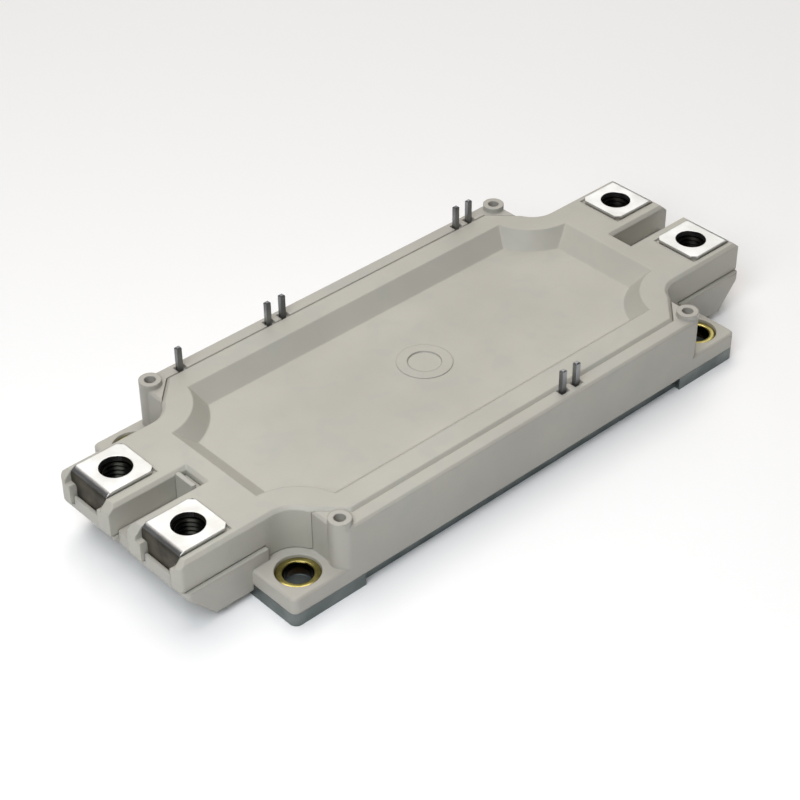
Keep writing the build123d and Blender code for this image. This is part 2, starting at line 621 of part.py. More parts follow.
def bond_wire(x, start, end):
    """Bond wire in three straight stretches between two places given across and up."""
    step = math.copysign(WIRE_WIDTH, end[0] - start[0])
    lean = (end[0] - start[0]) * WIRE_LEAN
    crest = max(start[1], end[1]) + WIRE_RISE
    outline = outline_of([
        start,
        (start[0] + lean, crest),
        (end[0] - lean, crest),
        end,
        (end[0] - step, end[1]),
        (end[0] - lean - step / 2, crest - WIRE_WIDTH),
        (start[0] + lean + step / 2, crest - WIRE_WIDTH),
        (start[0] + step, start[1]),
    ])
    return extrude(Plane.YZ.offset(x - WIRE_WIDTH / 2) * outline, amount=WIRE_WIDTH)


def make_bond_wires(x):
    """Wires from each chip of a tile across the gap to the next pad."""
    wires = Part()
    near_edges = (-MIDDLE_PAD_WIDTH / 2 - PAD_GAP, MIDDLE_PAD_WIDTH / 2)
    rows = ((x - TRANSISTOR_X, WIRES_PER_TRANSISTOR), (x + DIODE_X, WIRES_PER_DIODE))
    for chip_x, count in rows:
        for number in range(count):
            wire_x = chip_x + (number - (count - 1) / 2) * WIRE_SPACING
            for chip_y, edge in zip((0, SIDE_PAD_Y), near_edges):
                wires += bond_wire(wire_x, (chip_y, CHIP_TOP), (edge - WIRE_LANDING, PAD_TOP))
    return wires


def make_pin_wires():
    """Wires from the feet of the signal pins to the signal strips of the tiles."""
    wires = Part()
    foot_y = BOND_LEDGE_Y + PIN_FOOT_MARGIN + 2 * WIRE_WIDTH
    for x, side in pin_places():
        wires += bond_wire(x, (side * foot_y, PIN_FOOT_TOP), (side * STRIP_Y, PAD_TOP))
    return wires


def make_bridges():
    """Copper clips that join each pad to its neighbour on the next tile."""
    half_span = TILE_GAP / 2 + TILE_MARGIN
    toe = half_span + BRIDGE_FOOT
    shoulder = half_span + BRIDGE_THICKNESS
    foot_top = PAD_TOP + BRIDGE_THICKNESS
    under = PAD_TOP + BRIDGE_RISE
    half = [
        (half_span, under),
        (half_span, PAD_TOP),
        (toe, PAD_TOP),
        (toe, foot_top),
        (shoulder, foot_top),
        (shoulder, under + BRIDGE_THICKNESS),
    ]
    mirrored = [(-x, z) for x, z in reversed(half)]
    clip = side_prism(outline_of(half + mirrored), (-BRIDGE_WIDTH / 2, BRIDGE_WIDTH / 2))
    places = [(side * TILE_PITCH / 2, y) for side in SIDES for y in (-SIDE_PAD_Y, 0, SIDE_PAD_Y)]
    return Part() + [Pos(x, y, 0) * clip for x, y in places]


def make_sensor():
    """Temperature sensor across the split of a signal strip on the left tile."""
    sensor = Box(SENSOR_LENGTH, SENSOR_WIDTH, SENSOR_HEIGHT)
    return Pos(-TILE_PITCH, -STRIP_Y, PAD_TOP + SENSOR_HEIGHT / 2) * sensor


def make_parts():
    """Every piece of the module under its name."""
    parts = {
        "base_plate": make_base_plate(),
        "frame": make_frame(),
        "lid": make_lid(),
        "supply_strap_near": make_supply_strap(-1),
        "supply_strap_far": make_supply_strap(1),
        "output_strap_near": make_output_strap(-1),
        "output_strap_far": make_output_strap(1),
        "tile_bridges": make_bridges(),
        "temperature_sensor": make_sensor(),
        "pin_bond_wires": make_pin_wires(),
    }
    for number, (x, y) in enumerate(corner_places(MOUNT_X, MOUNT_Y), start=1):
        parts[f"bushing_{number}"] = make_bushing(x, y)
    for number, (end, side) in enumerate(corner_places(1, 1), start=1):
        parts[f"terminal_nut_{number}"] = make_nut(end, side)
    for number, (x, side) in enumerate(pin_places(), start=1):
        parts[f"signal_pin_{number}"] = make_pin(x, side)
    for step, name in enumerate(TILE_NAMES):
        x = (step - 1) * TILE_PITCH
        parts[f"lower_copper_{name}"] = make_lower_copper(x)
        parts[f"ceramic_tile_{name}"] = make_ceramic(x)
        parts[f"circuit_copper_{name}"] = make_circuit_copper(x)
        parts[f"transistor_chips_{name}"] = make_chips(x - TRANSISTOR_X, TRANSISTOR_SIZE)
        parts[f"diode_chips_{name}"] = make_chips(x + DIODE_X, DIODE_SIZE)
        parts[f"bond_wires_{name}"] = make_bond_wires(x)
    return parts


os.makedirs("parts", exist_ok=True)
for part_name, part in make_parts().items():
    export_step(part, f"parts/{part_name}.step")
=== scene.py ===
"""Looks of a flat power transistor module: finishes, nuts, bushings, studio and camera."""

import logging
import math
from dataclasses import dataclass
from enum import Enum

import bpy
from mathutils import Matrix, Vector


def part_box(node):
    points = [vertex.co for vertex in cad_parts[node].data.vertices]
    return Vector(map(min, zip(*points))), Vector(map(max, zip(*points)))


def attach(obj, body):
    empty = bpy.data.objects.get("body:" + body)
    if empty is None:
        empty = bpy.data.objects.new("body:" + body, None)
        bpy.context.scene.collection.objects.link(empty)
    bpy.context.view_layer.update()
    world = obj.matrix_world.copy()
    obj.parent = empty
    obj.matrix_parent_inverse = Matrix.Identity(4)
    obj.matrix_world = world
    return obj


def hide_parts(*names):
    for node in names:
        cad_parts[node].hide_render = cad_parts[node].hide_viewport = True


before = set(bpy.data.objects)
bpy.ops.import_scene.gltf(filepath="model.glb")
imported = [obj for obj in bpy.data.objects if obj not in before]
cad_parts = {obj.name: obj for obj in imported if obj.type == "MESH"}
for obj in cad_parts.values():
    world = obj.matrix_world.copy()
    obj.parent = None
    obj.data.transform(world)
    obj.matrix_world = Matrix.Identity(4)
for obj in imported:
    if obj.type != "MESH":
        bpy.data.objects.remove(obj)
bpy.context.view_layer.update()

log = logging.getLogger("module")

MM = 0.001
BODY = "root"
Colour = tuple[float, float, float, float]
Place = tuple[float, float, float]
Band = tuple[float, float]

# The two colour inputs of a Mix node, which share their names with its other inputs.
MIX_A = 6
MIX_B = 7
BEVEL_SAMPLES = 8
# A face whose normal has more than this upwards or downwards is an end face.
UPRIGHT_NORMAL = 0.9
# Corners of the thread's sleeve that lie closer together than this become one.
MERGE_MM = 0.001


class Lines(Enum):
    """Way in which the lines of a rolled or drawn metal run: its scale along X, Y and Z."""

    ALONG = (0.07, 1.0, 1.0)
    ACROSS = (1.0, 0.07, 1.0)
    UPRIGHT = (1.0, 1.0, 0.07)


def linear(hex_code: str) -> Colour:
    """Turns an sRGB hex value into a linear colour.

    Args:
        hex_code: six hex digits after a hash sign.

    Returns:
        Red, green, blue and full alpha, linear.
    """
    parts = [int(hex_code[i:i + 2], 16) / 255 for i in (1, 3, 5)]
    red, green, blue = (p / 12.92 if p <= 0.04045 else ((p + 0.055) / 1.055) ** 2.4 for p in parts)
    return red, green, blue, 1.0


def per_metre(size_mm: float) -> float:
    """Scale of a pattern in Object coordinates whose features are this many millimetres wide."""
    return 1.0 / (size_mm * MM)


def add_node(tree: bpy.types.NodeTree, kind: str, inputs: dict | None = None,
             **settings: object) -> bpy.types.Node:
    """Adds one shader node with its settings, values and links.

    Args:
        tree: the tree that takes the node.
        kind: the node's type name without its ShaderNode prefix.
        inputs: a value or an output socket for each input, by name or number.
        settings: properties of the node itself.

    Returns:
        The new node.
    """
    node = tree.nodes.new("ShaderNode" + kind)
    for key, value in settings.items():
        setattr(node, key, value)
    for key, value in (inputs or {}).items():
        if isinstance(value, bpy.types.NodeSocket):
            tree.links.new(value, node.inputs[key])
        else:
            node.inputs[key].default_value = value
    return node


@dataclass(frozen=True)
class Finish:
    """A surface with a name and a softened edge."""

    name: str
    edge_mm: float = 0.3

    def make(self) -> bpy.types.Material:
        """Builds the material.

        Returns:
            A node material with this finish's shader on its surface.
        """
        material = bpy.data.materials.new(self.name)
        material.use_nodes = True
        tree = material.node_tree
        tree.nodes.clear()
        place = add_node(tree, "TexCoord").outputs["Object"]
        shader = self.shader(tree, place)
        add_node(tree, "OutputMaterial", {"Surface": shader.outputs[0]})
        return material

    def relief(self, tree: bpy.types.NodeTree, height: bpy.types.NodeSocket, strength: float,
               depth_mm: float) -> bpy.types.NodeSocket:
        """Rounds the piece's edges and raises a fine pattern on its faces.

        Args:
            tree: the material's tree.
            height: the pattern's height from 0 to 1.
            strength: how much of the pattern counts.
            depth_mm: the pattern's depth.

        Returns:
            The surface's normal.
        """
        rounded = add_node(tree, "Bevel", {"Radius": self.edge_mm * MM}, samples=BEVEL_SAMPLES)
        return add_node(tree, "Bump", {"Height": height, "Normal": rounded.outputs[0], "Strength": strength,
                                       "Distance": depth_mm * MM}).outputs[0]

    def shader(self, tree: bpy.types.NodeTree, place: bpy.types.NodeSocket) -> bpy.types.Node:
        """Adds the finish's nodes.

        Args:
            tree: the material's tree.
            place: the place on the piece in metres.

        Returns:
            The shader node.
        """
        raise NotImplementedError


@dataclass(frozen=True)
class MouldedPolyester(Finish):
    """Glass-filled polyester, injection moulded: matt and even, with clouds where the melt slowed."""

    tone: str = "#ADA9A0"
    pale_tone: str = "#B4B1A7"
    cool_tone: str = "#A7A9A4"
    cloud_mm: float = 22.0
    cloud_band: Band = (0.35, 0.65)
    flow_mm: float = 7.0
    flow_swirl: float = 0.6
    flow_band: Band = (0.5, 0.8)
    flow_share: float = 0.5
    grain_mm: float = 0.45
    grain_depth_mm: float = 0.012
    grain_strength: float = 0.35
    grain_band: Band = (0.3, 0.7)
    roughness: float = 0.5
    roughness_spread: float = 0.06
    refraction: float = 1.55

    def shader(self, tree: bpy.types.NodeTree, place: bpy.types.NodeSocket) -> bpy.types.Node:
        """Adds the plastic's nodes.

        Args:
            tree: the material's tree.
            place: the place on the piece in metres.

        Returns:
            The shader node.
        """
        clouds = add_node(tree, "TexNoise", {"Vector": place, "Scale": per_metre(self.cloud_mm), "Detail": 3.0})
        cloud = add_node(tree, "MapRange", {"Value": clouds.outputs["Fac"], "From Min": self.cloud_band[0],
                                            "From Max": self.cloud_band[1]})
        base = add_node(tree, "Mix", {"Factor": cloud.outputs[0], MIX_A: linear(self.tone),
                                      MIX_B: linear(self.pale_tone)}, data_type="RGBA")
        flows = add_node(tree, "TexNoise", {"Vector": place, "Scale": per_metre(self.flow_mm), "Detail": 4.0,
                                            "Distortion": self.flow_swirl})
        flow = add_node(tree, "MapRange", {"Value": flows.outputs["Fac"], "From Min": self.flow_band[0],
                                           "From Max": self.flow_band[1], "To Max": self.flow_share})
        colour = add_node(tree, "Mix", {"Factor": flow.outputs[0], MIX_A: base.outputs[2],
                                        MIX_B: linear(self.cool_tone)}, data_type="RGBA")
        # The tool's texture is under 0.1 mm, too fine to show, so it is drawn over four times as coarse.
        grain = add_node(tree, "TexNoise", {"Vector": place, "Scale": per_metre(self.grain_mm), "Detail": 4.0})
        normal = self.relief(tree, grain.outputs["Fac"], self.grain_strength, self.grain_depth_mm)
        gloss = add_node(tree, "MapRange", {"Value": grain.outputs["Fac"], "From Min": self.grain_band[0],
                                            "From Max": self.grain_band[1],
                                            "To Min": self.roughness - self.roughness_spread,
                                            "To Max": self.roughness + self.roughness_spread})
        return add_node(tree, "BsdfPrincipled", {"Base Color": colour.outputs[2], "IOR": self.refraction,
                                                 "Roughness": gloss.outputs[0], "Normal": normal})


@dataclass(frozen=True)
class RolledMetal(Finish):
    """Metal rolled, drawn or pressed and then plated: fine lines one way, stains and a duller patch."""

    tone: str = "#8C9192"
    worn_tone: str = "#7B8183"
    lines: Lines = Lines.ALONG
    line_mm: float = 0.3
    line_depth_mm: float = 0.003
    line_strength: float = 0.4
    stain_mm: float = 6.0
    stain_band: Band = (0.38, 0.62)
    roughness: float = 0.3
    gloss_band: Band = (0.3, 0.7)
    stain_dulling: float = 0.08
    clean_shine: float = 0.04

    def shader(self, tree: bpy.types.NodeTree, place: bpy.types.NodeSocket) -> bpy.types.Node:
        """Adds the metal's nodes.

        Args:
            tree: the material's tree.
            place: the place on the piece in metres.

        Returns:
            The shader node.
        """
        stretched = add_node(tree, "Mapping", {"Vector": place, "Scale": self.lines.value})
        # Rolling lines are a few hundredths of a millimetre wide, so they are drawn about ten times as coarse.
        lines = add_node(tree, "TexNoise", {"Vector": stretched.outputs[0], "Scale": per_metre(self.line_mm),
                                            "Detail": 3.0})
        stains = add_node(tree, "TexNoise", {"Vector": place, "Scale": per_metre(self.stain_mm), "Detail": 5.0})
        stain = add_node(tree, "MapRange", {"Value": stains.outputs["Fac"], "From Min": self.stain_band[0],
                                            "From Max": self.stain_band[1]})
        colour = add_node(tree, "Mix", {"Factor": stain.outputs[0], MIX_A: linear(self.worn_tone),
                                        MIX_B: linear(self.tone)}, data_type="RGBA")
        normal = self.relief(tree, lines.outputs["Fac"], self.line_strength, self.line_depth_mm)
        gloss = add_node(tree, "MapRange", {"Value": stains.outputs["Fac"], "From Min": self.gloss_band[0],
                                            "From Max": self.gloss_band[1],
                                            "To Min": self.roughness + self.stain_dulling,
                                            "To Max": self.roughness - self.clean_shine})
        return add_node(tree, "BsdfPrincipled", {"Base Color": colour.outputs[2], "Metallic": 1.0,
                                                 "Roughness": gloss.outputs[0], "Normal": normal})


@dataclass(frozen=True)
class FoldedPlating(Finish):
    """Nickel on folded copper strip: bright and satin on the plate, dull and painted dark brown-grey as shade on
    the folded legs.
    """

    tone: str = "#DEDFDF"
    stain_tone: str = "#CECECC"
    # The two leg tones are painted shade and painted dark reflection on the folded legs.
    leg_shade_tone: str = "#46423B"
    leg_shade_pale_tone: str = "#625E55"
    line_mm: float = 0.25
    line_depth_mm: float = 0.003
    line_strength: float = 0.4
    stain_mm: float = 5.0
    stain_band: Band = (0.38, 0.62)
    leg_shade_band: Band = (0.6, 0.85)
    roughness: float = 0.28
    leg_roughness: float = 0.62

    def shader(self, tree: bpy.types.NodeTree, place: bpy.types.NodeSocket) -> bpy.types.Node:
        """Adds the plating's nodes.

        Args:
            tree: the material's tree.
            place: the place on the piece in metres.

        Returns:
            The shader node.
        """
        stretched = add_node(tree, "Mapping", {"Vector": place, "Scale": Lines.ACROSS.value})
        # The strip's rolling lines are drawn about ten times as coarse as the real ones.
        lines = add_node(tree, "TexNoise", {"Vector": stretched.outputs[0], "Scale": per_metre(self.line_mm),
                                            "Detail": 3.0})
        stains = add_node(tree, "TexNoise", {"Vector": place, "Scale": per_metre(self.stain_mm), "Detail": 5.0})
        stain = add_node(tree, "MapRange", {"Value": stains.outputs["Fac"], "From Min": self.stain_band[0],
                                            "From Max": self.stain_band[1]})
        plate = add_node(tree, "Mix", {"Factor": stain.outputs[0], MIX_A: linear(self.stain_tone),
                                       MIX_B: linear(self.tone)}, data_type="RGBA")
        leg = add_node(tree, "Mix", {"Factor": stain.outputs[0], MIX_A: linear(self.leg_shade_tone),
                                     MIX_B: linear(self.leg_shade_pale_tone)}, data_type="RGBA")
        # Painted shade: the faces that look out over the strip's own end, the folded legs, get a dark brown-grey
        # and a duller finish, standing in for the shade under the plate's edge and the dark they reflect.
        facing = add_node(tree, "SeparateXYZ", {"Vector": add_node(tree, "NewGeometry").outputs["True Normal"]})
        spot = add_node(tree, "SeparateXYZ", {"Vector": place})
        end = add_node(tree, "Math", {0: spot.outputs["X"]}, operation="SIGN")
        outward = add_node(tree, "Math", {0: facing.outputs["X"], 1: end.outputs[0]}, operation="MULTIPLY")
        folded = add_node(tree, "MapRange", {"Value": outward.outputs[0], "From Min": self.leg_shade_band[0],
                                             "From Max": self.leg_shade_band[1]})
        colour = add_node(tree, "Mix", {"Factor": folded.outputs[0], MIX_A: plate.outputs[2],
                                        MIX_B: leg.outputs[2]}, data_type="RGBA")
        gloss = add_node(tree, "MapRange", {"Value": folded.outputs[0], "To Min": self.roughness,
                                            "To Max": self.leg_roughness})
        normal = self.relief(tree, lines.outputs["Fac"], self.line_strength, self.line_depth_mm)
        return add_node(tree, "BsdfPrincipled", {"Base Color": colour.outputs[2], "Metallic": 1.0,
                                                 "Roughness": gloss.outputs[0], "Normal": normal})


@dataclass(frozen=True)
class TurnedBrass(Finish):
    """Brass turned on a lathe and left bare: fine rings on its face, dulled in patches, with painted shade
    darkening its bore.
    """

    centre: tuple[float, float] = (0.0, 0.0)
    tone: str = "#BFB26E"
    dull_tone: str = "#8E854E"
    # The bore's tone is painted shade.
    bore_shade_tone: str = "#2E2415"
    bore_mm: float = 2.8
    bore_shade_fade_mm: Band = (0.05, 0.4)
    patch_mm: float = 3.0
    patch_band: Band = (0.35, 0.6)
    ring_mm: float = 0.35
    ring_depth_mm: float = 0.006
    ring_strength: float = 0.3
    roughness: float = 0.2

    def shader(self, tree: bpy.types.NodeTree, place: bpy.types.NodeSocket) -> bpy.types.Node:
        """Adds the brass's nodes, centred on one bushing's axis.

        Args:
            tree: the material's tree.
            place: the place on the piece in metres.

        Returns:
            The shader node.
        """
        offset = (-self.centre[0], -self.centre[1], 0.0)
        centred = add_node(tree, "Mapping", {"Vector": place, "Location": offset}).outputs[0]
        # Turning rings are about 0.05 mm apart, too fine to show, so they are drawn seven times as coarse.
        rings = add_node(tree, "TexWave", {"Vector": centred, "Scale": per_metre(self.ring_mm) / math.tau},
                         wave_type="RINGS", rings_direction="Z")
        patches = add_node(tree, "TexNoise", {"Vector": place, "Scale": per_metre(self.patch_mm), "Detail": 4.0})
        patch = add_node(tree, "MapRange", {"Value": patches.outputs["Fac"], "From Min": self.patch_band[0],
                                            "From Max": self.patch_band[1]})
        face = add_node(tree, "Mix", {"Factor": patch.outputs[0], MIX_A: linear(self.dull_tone),
                                      MIX_B: linear(self.tone)}, data_type="RGBA")
        flat = add_node(tree, "VectorMath", {0: centred, 1: (1.0, 1.0, 0.0)}, operation="MULTIPLY")
        radius = add_node(tree, "VectorMath", {0: flat.outputs[0]}, operation="LENGTH")
        # Painted shade: the bore wall and the inside of its rim are painted dark brown, standing in for the
        # shade down the hole.
        bore = add_node(tree, "MapRange", {"Value": radius.outputs["Value"],
                                           "From Min": (self.bore_mm + self.bore_shade_fade_mm[0]) * MM,
                                           "From Max": (self.bore_mm + self.bore_shade_fade_mm[1]) * MM})
        colour = add_node(tree, "Mix", {"Factor": bore.outputs[0], MIX_A: linear(self.bore_shade_tone),
                                        MIX_B: face.outputs[2]}, data_type="RGBA")
        normal = self.relief(tree, rings.outputs["Fac"], self.ring_strength, self.ring_depth_mm)
        return add_node(tree, "BsdfPrincipled", {"Base Color": colour.outputs[2], "Metallic": 1.0,
                                                 "Roughness": self.roughness, "Normal": normal})


@dataclass(frozen=True)
class FiredCeramic(Finish):
    """Fired ceramic with a fine even grain, such as an insulating tile or a sensor's body."""

    tone: str = "#E9E8E2"
    speck_tone: str = "#DCDBD3"
    grain_mm: float = 0.5
    grain_depth_mm: float = 0.01
    grain_strength: float = 0.2
    roughness: float = 0.4
    refraction: float = 1.7

    def shader(self, tree: bpy.types.NodeTree, place: bpy.types.NodeSocket) -> bpy.types.Node:
        """Adds the ceramic's nodes.

        Args:
            tree: the material's tree.
            place: the place on the piece in metres.

        Returns:
            The shader node.
        """
        grain = add_node(tree, "TexNoise", {"Vector": place, "Scale": per_metre(self.grain_mm), "Detail": 5.0})
        colour = add_node(tree, "Mix", {"Factor": grain.outputs["Fac"], MIX_A: linear(self.tone),
                                        MIX_B: linear(self.speck_tone)}, data_type="RGBA")
        bump = add_node(tree, "Bump", {"Height": grain.outputs["Fac"], "Strength": self.grain_strength,
                                       "Distance": self.grain_depth_mm * MM})
        return add_node(tree, "BsdfPrincipled", {"Base Color": colour.outputs[2], "IOR": self.refraction,
                                                 "Roughness": self.roughness, "Normal": bump.outputs[0]})


@dataclass(frozen=True)
class MattPaper(Finish):
    """Smooth matt paper under the module."""

    tone: str = "#FAFAFA"
    roughness: float = 0.95

    def shader(self, tree: bpy.types.NodeTree, place: bpy.types.NodeSocket) -> bpy.types.Node:
        """Adds the paper's shader, plain from edge to edge.

        Args:
            tree: the material's tree.
            place: the place on the floor in metres; not used.

        Returns:
            The shader node.
        """
        return add_node(tree, "BsdfPrincipled", {"Base Color": linear(self.tone), "Roughness": self.roughness})


def dress(name: str, material: bpy.types.Material) -> None:
    """Gives a CAD node its material.

    Args:
        name: the node's name.
        material: the finish of all its faces.
    """
    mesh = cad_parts[name].data
    mesh.materials.clear()
    mesh.materials.append(material)
    log.info("%s wears %s", name, material.name)


def select_only(piece: bpy.types.Object) -> None:
    """Makes one piece the only selected and the active one.

    Args:
        piece: the piece to work on.
    """
    bpy.ops.object.select_all(action="DESELECT")
    piece.select_set(True)
    bpy.context.view_layer.objects.active = piece


def apply_modifier(piece: bpy.types.Object, kind: str, **settings: object) -> None:
    """Adds one modifier with its settings and applies it.

    Args:
        piece: the piece that takes it.
        kind: the modifier's type.
        settings: properties of the modifier.
    """
    select_only(piece)
    modifier = piece.modifiers.new(kind.title(), kind)
    for key, value in settings.items():
        setattr(modifier, key, value)
    bpy.ops.object.modifier_apply(modifier=modifier.name)


def place_copy(model: bpy.types.Object, name: str, place: Vector,
               material: bpy.types.Material) -> bpy.types.Object:
    """Copies a model with its own mesh, moved within the mesh to its place.

    Args:
        model: the piece modelled round the origin.
        name: the copy's name.
        place: where the model's origin goes.
        material: the copy's finish.

    Returns:
        The copy, its object at the origin.
    """
    mesh = model.data.copy()
    mesh.transform(Matrix.Translation(place))
    mesh.materials.clear()
    mesh.materials.append(material)
    piece = bpy.data.objects.new(name, mesh)
    bpy.context.scene.collection.objects.link(piece)
    return piece


@dataclass
class Housing:
    """Frame and lid, moulded from the same grey polyester."""

    frame_edge_mm: float = 0.45
    lid_edge_mm: float = 0.5

    def build(self) -> None:
        """Dresses both mouldings."""
        dress("frame", MouldedPolyester("moulded_grey_polyester_frame", self.frame_edge_mm).make())
        dress("lid", MouldedPolyester("moulded_grey_polyester_lid", self.lid_edge_mm, tone="#AFACA2",
                                      pale_tone="#B7B4A9").make())


@dataclass
class Bushings:
    """Brass bushings in the frame's ears, turned with rounded rims."""

    outer_radius_mm: float = 4.4
    wall_mm: float = 1.6
    height_mm: float = 3.1
    rim_mm: float = 0.5
    rim_steps: int = 4
    segments: int = 96
    material_edge_mm: float = 0.2

    def model(self) -> bpy.types.Object:
        """Shapes one bushing round the origin, standing on it.

        Returns:
            The bushing's model.
        """
        bpy.ops.object.select_all(action="DESELECT")
        height = self.height_mm * MM
        bpy.ops.mesh.primitive_cylinder_add(vertices=self.segments, radius=self.outer_radius_mm * MM,
                                            depth=height, location=(0.0, 0.0, height / 2))
        piece = bpy.context.object
        bpy.ops.object.transform_apply(location=True, rotation=False, scale=False)
        bpy.ops.object.mode_set(mode="EDIT")
        bpy.ops.mesh.select_mode(type="FACE")
        bpy.ops.mesh.select_all(action="DESELECT")
        bpy.ops.object.mode_set(mode="OBJECT")
        for face in piece.data.polygons:
            face.select = abs(face.normal.z) > UPRIGHT_NORMAL
        bpy.ops.object.mode_set(mode="EDIT")
        bpy.ops.mesh.inset(thickness=self.wall_mm * MM, use_individual=True)
        bpy.ops.mesh.bridge_edge_loops()
        bpy.ops.mesh.select_all(action="SELECT")
        bpy.ops.mesh.normals_make_consistent(inside=False)
        bpy.ops.object.mode_set(mode="OBJECT")
        apply_modifier(piece, "BEVEL", width=self.rim_mm * MM, segments=self.rim_steps, limit_method="ANGLE",
                       angle_limit=math.radians(40))
        select_only(piece)
        bpy.ops.object.shade_smooth_by_angle(angle=math.radians(35))
        return piece

    def build(self) -> None:
        """Sets a bushing in each ear."""
        model = self.model()
        for number in range(1, 5):
            low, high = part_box(f"bushing_{number}")
            middle = (Vector(low) + Vector(high)) / 2
            brass = TurnedBrass(f"turned_brass_bushing_{number}", self.material_edge_mm,
                                centre=(middle.x, middle.y)).make()
            foot = Vector((middle.x, middle.y, low[2]))
            piece = place_copy(model, f"rimmed_bushing_{number}", foot, brass)
            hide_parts(f"bushing_{number}")
            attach(piece, BODY)
            log.info("%s stands in its ear", piece.name)
        bpy.data.objects.remove(model)


@dataclass
class TerminalNuts:
    """Steel nuts under the terminal plates, with chamfered corners and a real thread."""

    across_flats_mm: float = 10.0
    thickness_mm: float = 5.0
    minor_radius_mm: float = 2.5
    major_radius_mm: float = 3.0
    pitch_mm: float = 1.0
    corner_rim_mm: float = 0.6
    sleeve_wall_mm: float = 0.1
    steps: int = 32
    round_segments: int = 72
    tooth_tip: Band = (0.45, 0.55)
    material_edge_mm: float = 0.15

    def body(self) -> bpy.types.Object:
        """Shapes the six-sided body with its corners turned off and its bore open.

        Returns:
            The body, its middle at the origin.
        """
        bpy.ops.object.select_all(action="DESELECT")
        corner = self.across_flats_mm / 2 / math.cos(math.radians(30)) * MM
        depth = self.thickness_mm * MM
        bpy.ops.mesh.primitive_cylinder_add(vertices=6, radius=corner, depth=depth)
        piece = bpy.context.object
        bpy.ops.mesh.primitive_cylinder_add(vertices=self.round_segments, radius=corner, depth=depth)
        blank = bpy.context.object
        apply_modifier(blank, "BEVEL", width=self.corner_rim_mm * MM, segments=1, limit_method="ANGLE",
                       angle_limit=math.radians(60))
        bpy.ops.mesh.primitive_cylinder_add(vertices=self.round_segments, radius=self.major_radius_mm * MM,
                                            depth=2 * depth)
        drill = bpy.context.object
        apply_modifier(piece, "BOOLEAN", operation="INTERSECT", object=blank, solver="EXACT")
        apply_modifier(piece, "BOOLEAN", operation="DIFFERENCE", object=drill, solver="EXACT")
        bpy.data.objects.remove(blank)
        bpy.data.objects.remove(drill)
        return piece

    def thread(self) -> bpy.types.Object:
        """Winds the thread's tooth up the bore as a thin closed sleeve.

        Returns:
            The thread, its middle at the origin.
        """
        minor, major = self.minor_radius_mm * MM, self.major_radius_mm * MM
        pitch = self.pitch_mm * MM
        turns = round(self.thickness_mm / self.pitch_mm) + 2
        start = -turns * pitch / 2
        mesh = bpy.data.meshes.new("thread_sleeve")
        rise, fall = (start + share * pitch for share in self.tooth_tip)
        profile = [(major, 0.0, start), (minor, 0.0, rise), (minor, 0.0, fall), (major, 0.0, start + pitch)]
        mesh.from_pydata(profile, [(0, 1), (1, 2), (2, 3)], [])
        sleeve = bpy.data.objects.new("thread_sleeve", mesh)
        bpy.context.scene.collection.objects.link(sleeve)
        apply_modifier(sleeve, "SCREW", axis="Z", screw_offset=pitch, iterations=turns, steps=self.steps,
                       render_steps=self.steps, use_merge_vertices=True, merge_threshold=MERGE_MM * MM)
        select_only(sleeve)
        bpy.ops.object.mode_set(mode="EDIT")
        bpy.ops.mesh.select_all(action="SELECT")
        bpy.ops.mesh.remove_doubles(threshold=2 * MERGE_MM * MM)
        bpy.ops.object.mode_set(mode="OBJECT")
        outwards = sum(face.normal.xy.dot(face.center.xy) for face in sleeve.data.polygons)
        if outwards > 0.0:
            sleeve.data.flip_normals()
        apply_modifier(sleeve, "SOLIDIFY", thickness=self.sleeve_wall_mm * MM, offset=-1.0)
        select_only(sleeve)
        bpy.ops.object.mode_set(mode="EDIT")
        for end in (-1.0, 1.0):
            bpy.ops.mesh.select_all(action="SELECT")
            bpy.ops.mesh.bisect(plane_co=(0.0, 0.0, end * self.thickness_mm / 2 * MM),
                                plane_no=(0.0, 0.0, end), use_fill=True, clear_outer=True,
                                threshold=MERGE_MM / 10 * MM)
        bpy.ops.object.mode_set(mode="OBJECT")
        return sleeve

    def model(self) -> bpy.types.Object:
        """Joins body and thread.

        Returns:
            One nut, its middle at the origin.
        """
        body, thread = self.body(), self.thread()
        select_only(body)
        thread.select_set(True)
        bpy.ops.object.join()
        bpy.ops.object.shade_smooth_by_angle(angle=math.radians(28))
        return body

    def build(self) -> None:
        """Sets a nut under each terminal plate."""
        model = self.model()
        # The nuts' near-black tone is painted shade: it darkens the terminal holes beyond the shade the plates
        # cast.
        steel = RolledMetal("steel_nut_with_painted_shade", self.material_edge_mm, tone="#2B2A26",
                            worn_tone="#1E1D1B", lines=Lines.UPRIGHT, roughness=0.3).make()
        for number in range(1, 5):
            low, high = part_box(f"terminal_nut_{number}")
            middle = (Vector(low) + Vector(high)) / 2
            piece = place_copy(model, f"threaded_nut_{number}", middle, steel)
            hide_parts(f"terminal_nut_{number}")
            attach(piece, BODY)
            log.info("%s lies in its pocket", piece.name)
        bpy.data.objects.remove(model)


@dataclass
class Metalwork:
    """Base plate, straps and pins."""

    plate_edge_mm: float = 0.3
    strap_edge_mm: float = 0.2
    pin_edge_mm: float = 0.12

    def build(self) -> None:
        """Dresses the metal pieces that show."""
        dress("base_plate", RolledMetal("matt_nickel_on_copper_plate", self.plate_edge_mm, tone="#7B8180",
                                        worn_tone="#6B7271", roughness=0.42).make())
        strap = FoldedPlating("satin_nickel_on_copper_strap", self.strap_edge_mm).make()
        for name in ("supply_strap_near", "supply_strap_far", "output_strap_near", "output_strap_far"):
            dress(name, strap)
        pin = RolledMetal("dull_tin_on_copper_pin", self.pin_edge_mm, tone="#96989A", worn_tone="#787A7C",
                          lines=Lines.UPRIGHT, roughness=0.4).make()
        for number in range(1, 8):
            dress(f"signal_pin_{number}", pin)


